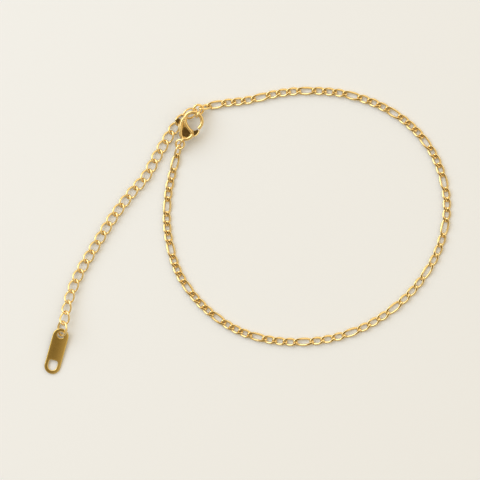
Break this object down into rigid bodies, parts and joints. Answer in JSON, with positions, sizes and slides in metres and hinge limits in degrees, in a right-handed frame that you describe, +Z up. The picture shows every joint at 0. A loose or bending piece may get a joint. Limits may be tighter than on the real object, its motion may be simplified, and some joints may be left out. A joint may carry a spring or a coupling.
{
  "type": "figaro chain anklet",
  "caption": "Gold-plated figaro chain anklet lying as a closed loop, with a sprung lobster clasp and a curb-link extender that ends in a flat tag.",
  "frame": {"origin": "middle of the anklet's outline on the table that it lies on", "axes": "+Z up from the table, +X along the loop's long direction to the picture's right, +Y to its top"},
  "size_m": [0.1016, 0.0718, 0.004],
  "materials": {
    "chain_gold": "polished gold plating over steel",
    "clasp_gold": "polished gold plating over steel",
    "tag_gold": "polished gold plating over steel, mirror-flat faces"
  },
  "bodies": {
    "anklet": {"figaro_chain": "chain_gold", "extender_link_01": "chain_gold", "extender_link_02": "chain_gold", "extender_link_03": "chain_gold", "extender_link_04": "chain_gold", "extender_link_05": "chain_gold", "extender_link_06": "chain_gold", "extender_link_07": "chain_gold", "extender_link_08": "chain_gold", "extender_link_09": "chain_gold", "extender_link_10": "chain_gold", "extender_link_11": "chain_gold", "extender_link_12": "chain_gold", "extender_link_13": "chain_gold", "extender_link_14": "chain_gold", "extender_link_15": "chain_gold", "extender_link_16": "chain_gold", "extender_link_17": "chain_gold", "extender_link_18": "chain_gold", "extender_link_19": "chain_gold", "extender_link_20": "chain_gold", "extender_link_21": "chain_gold", "extender_link_22": "chain_gold", "extender_link_23": "chain_gold", "end_ring": "chain_gold", "catch_link": "chain_gold", "clasp_ring": "chain_gold", "tag_ring": "chain_gold", "tag": "tag_gold", "clasp_body": "clasp_gold", "clasp_pin": "clasp_gold"},
    "lever": {"clasp_lever": "clasp_gold"}
  },
  "joints": [
    {"name": "clasp_lever_hinge", "type": "hinge", "parent": "anklet", "child": "lever", "pos_m": [-0.01554, 0.02445, 0.00225], "axis": [-0.0436, -0.0755, 0.9962], "range_deg": [0, 18], "stiffness_Nm_per_rad": 0.01, "springref_deg": -11.46}
  ]
}
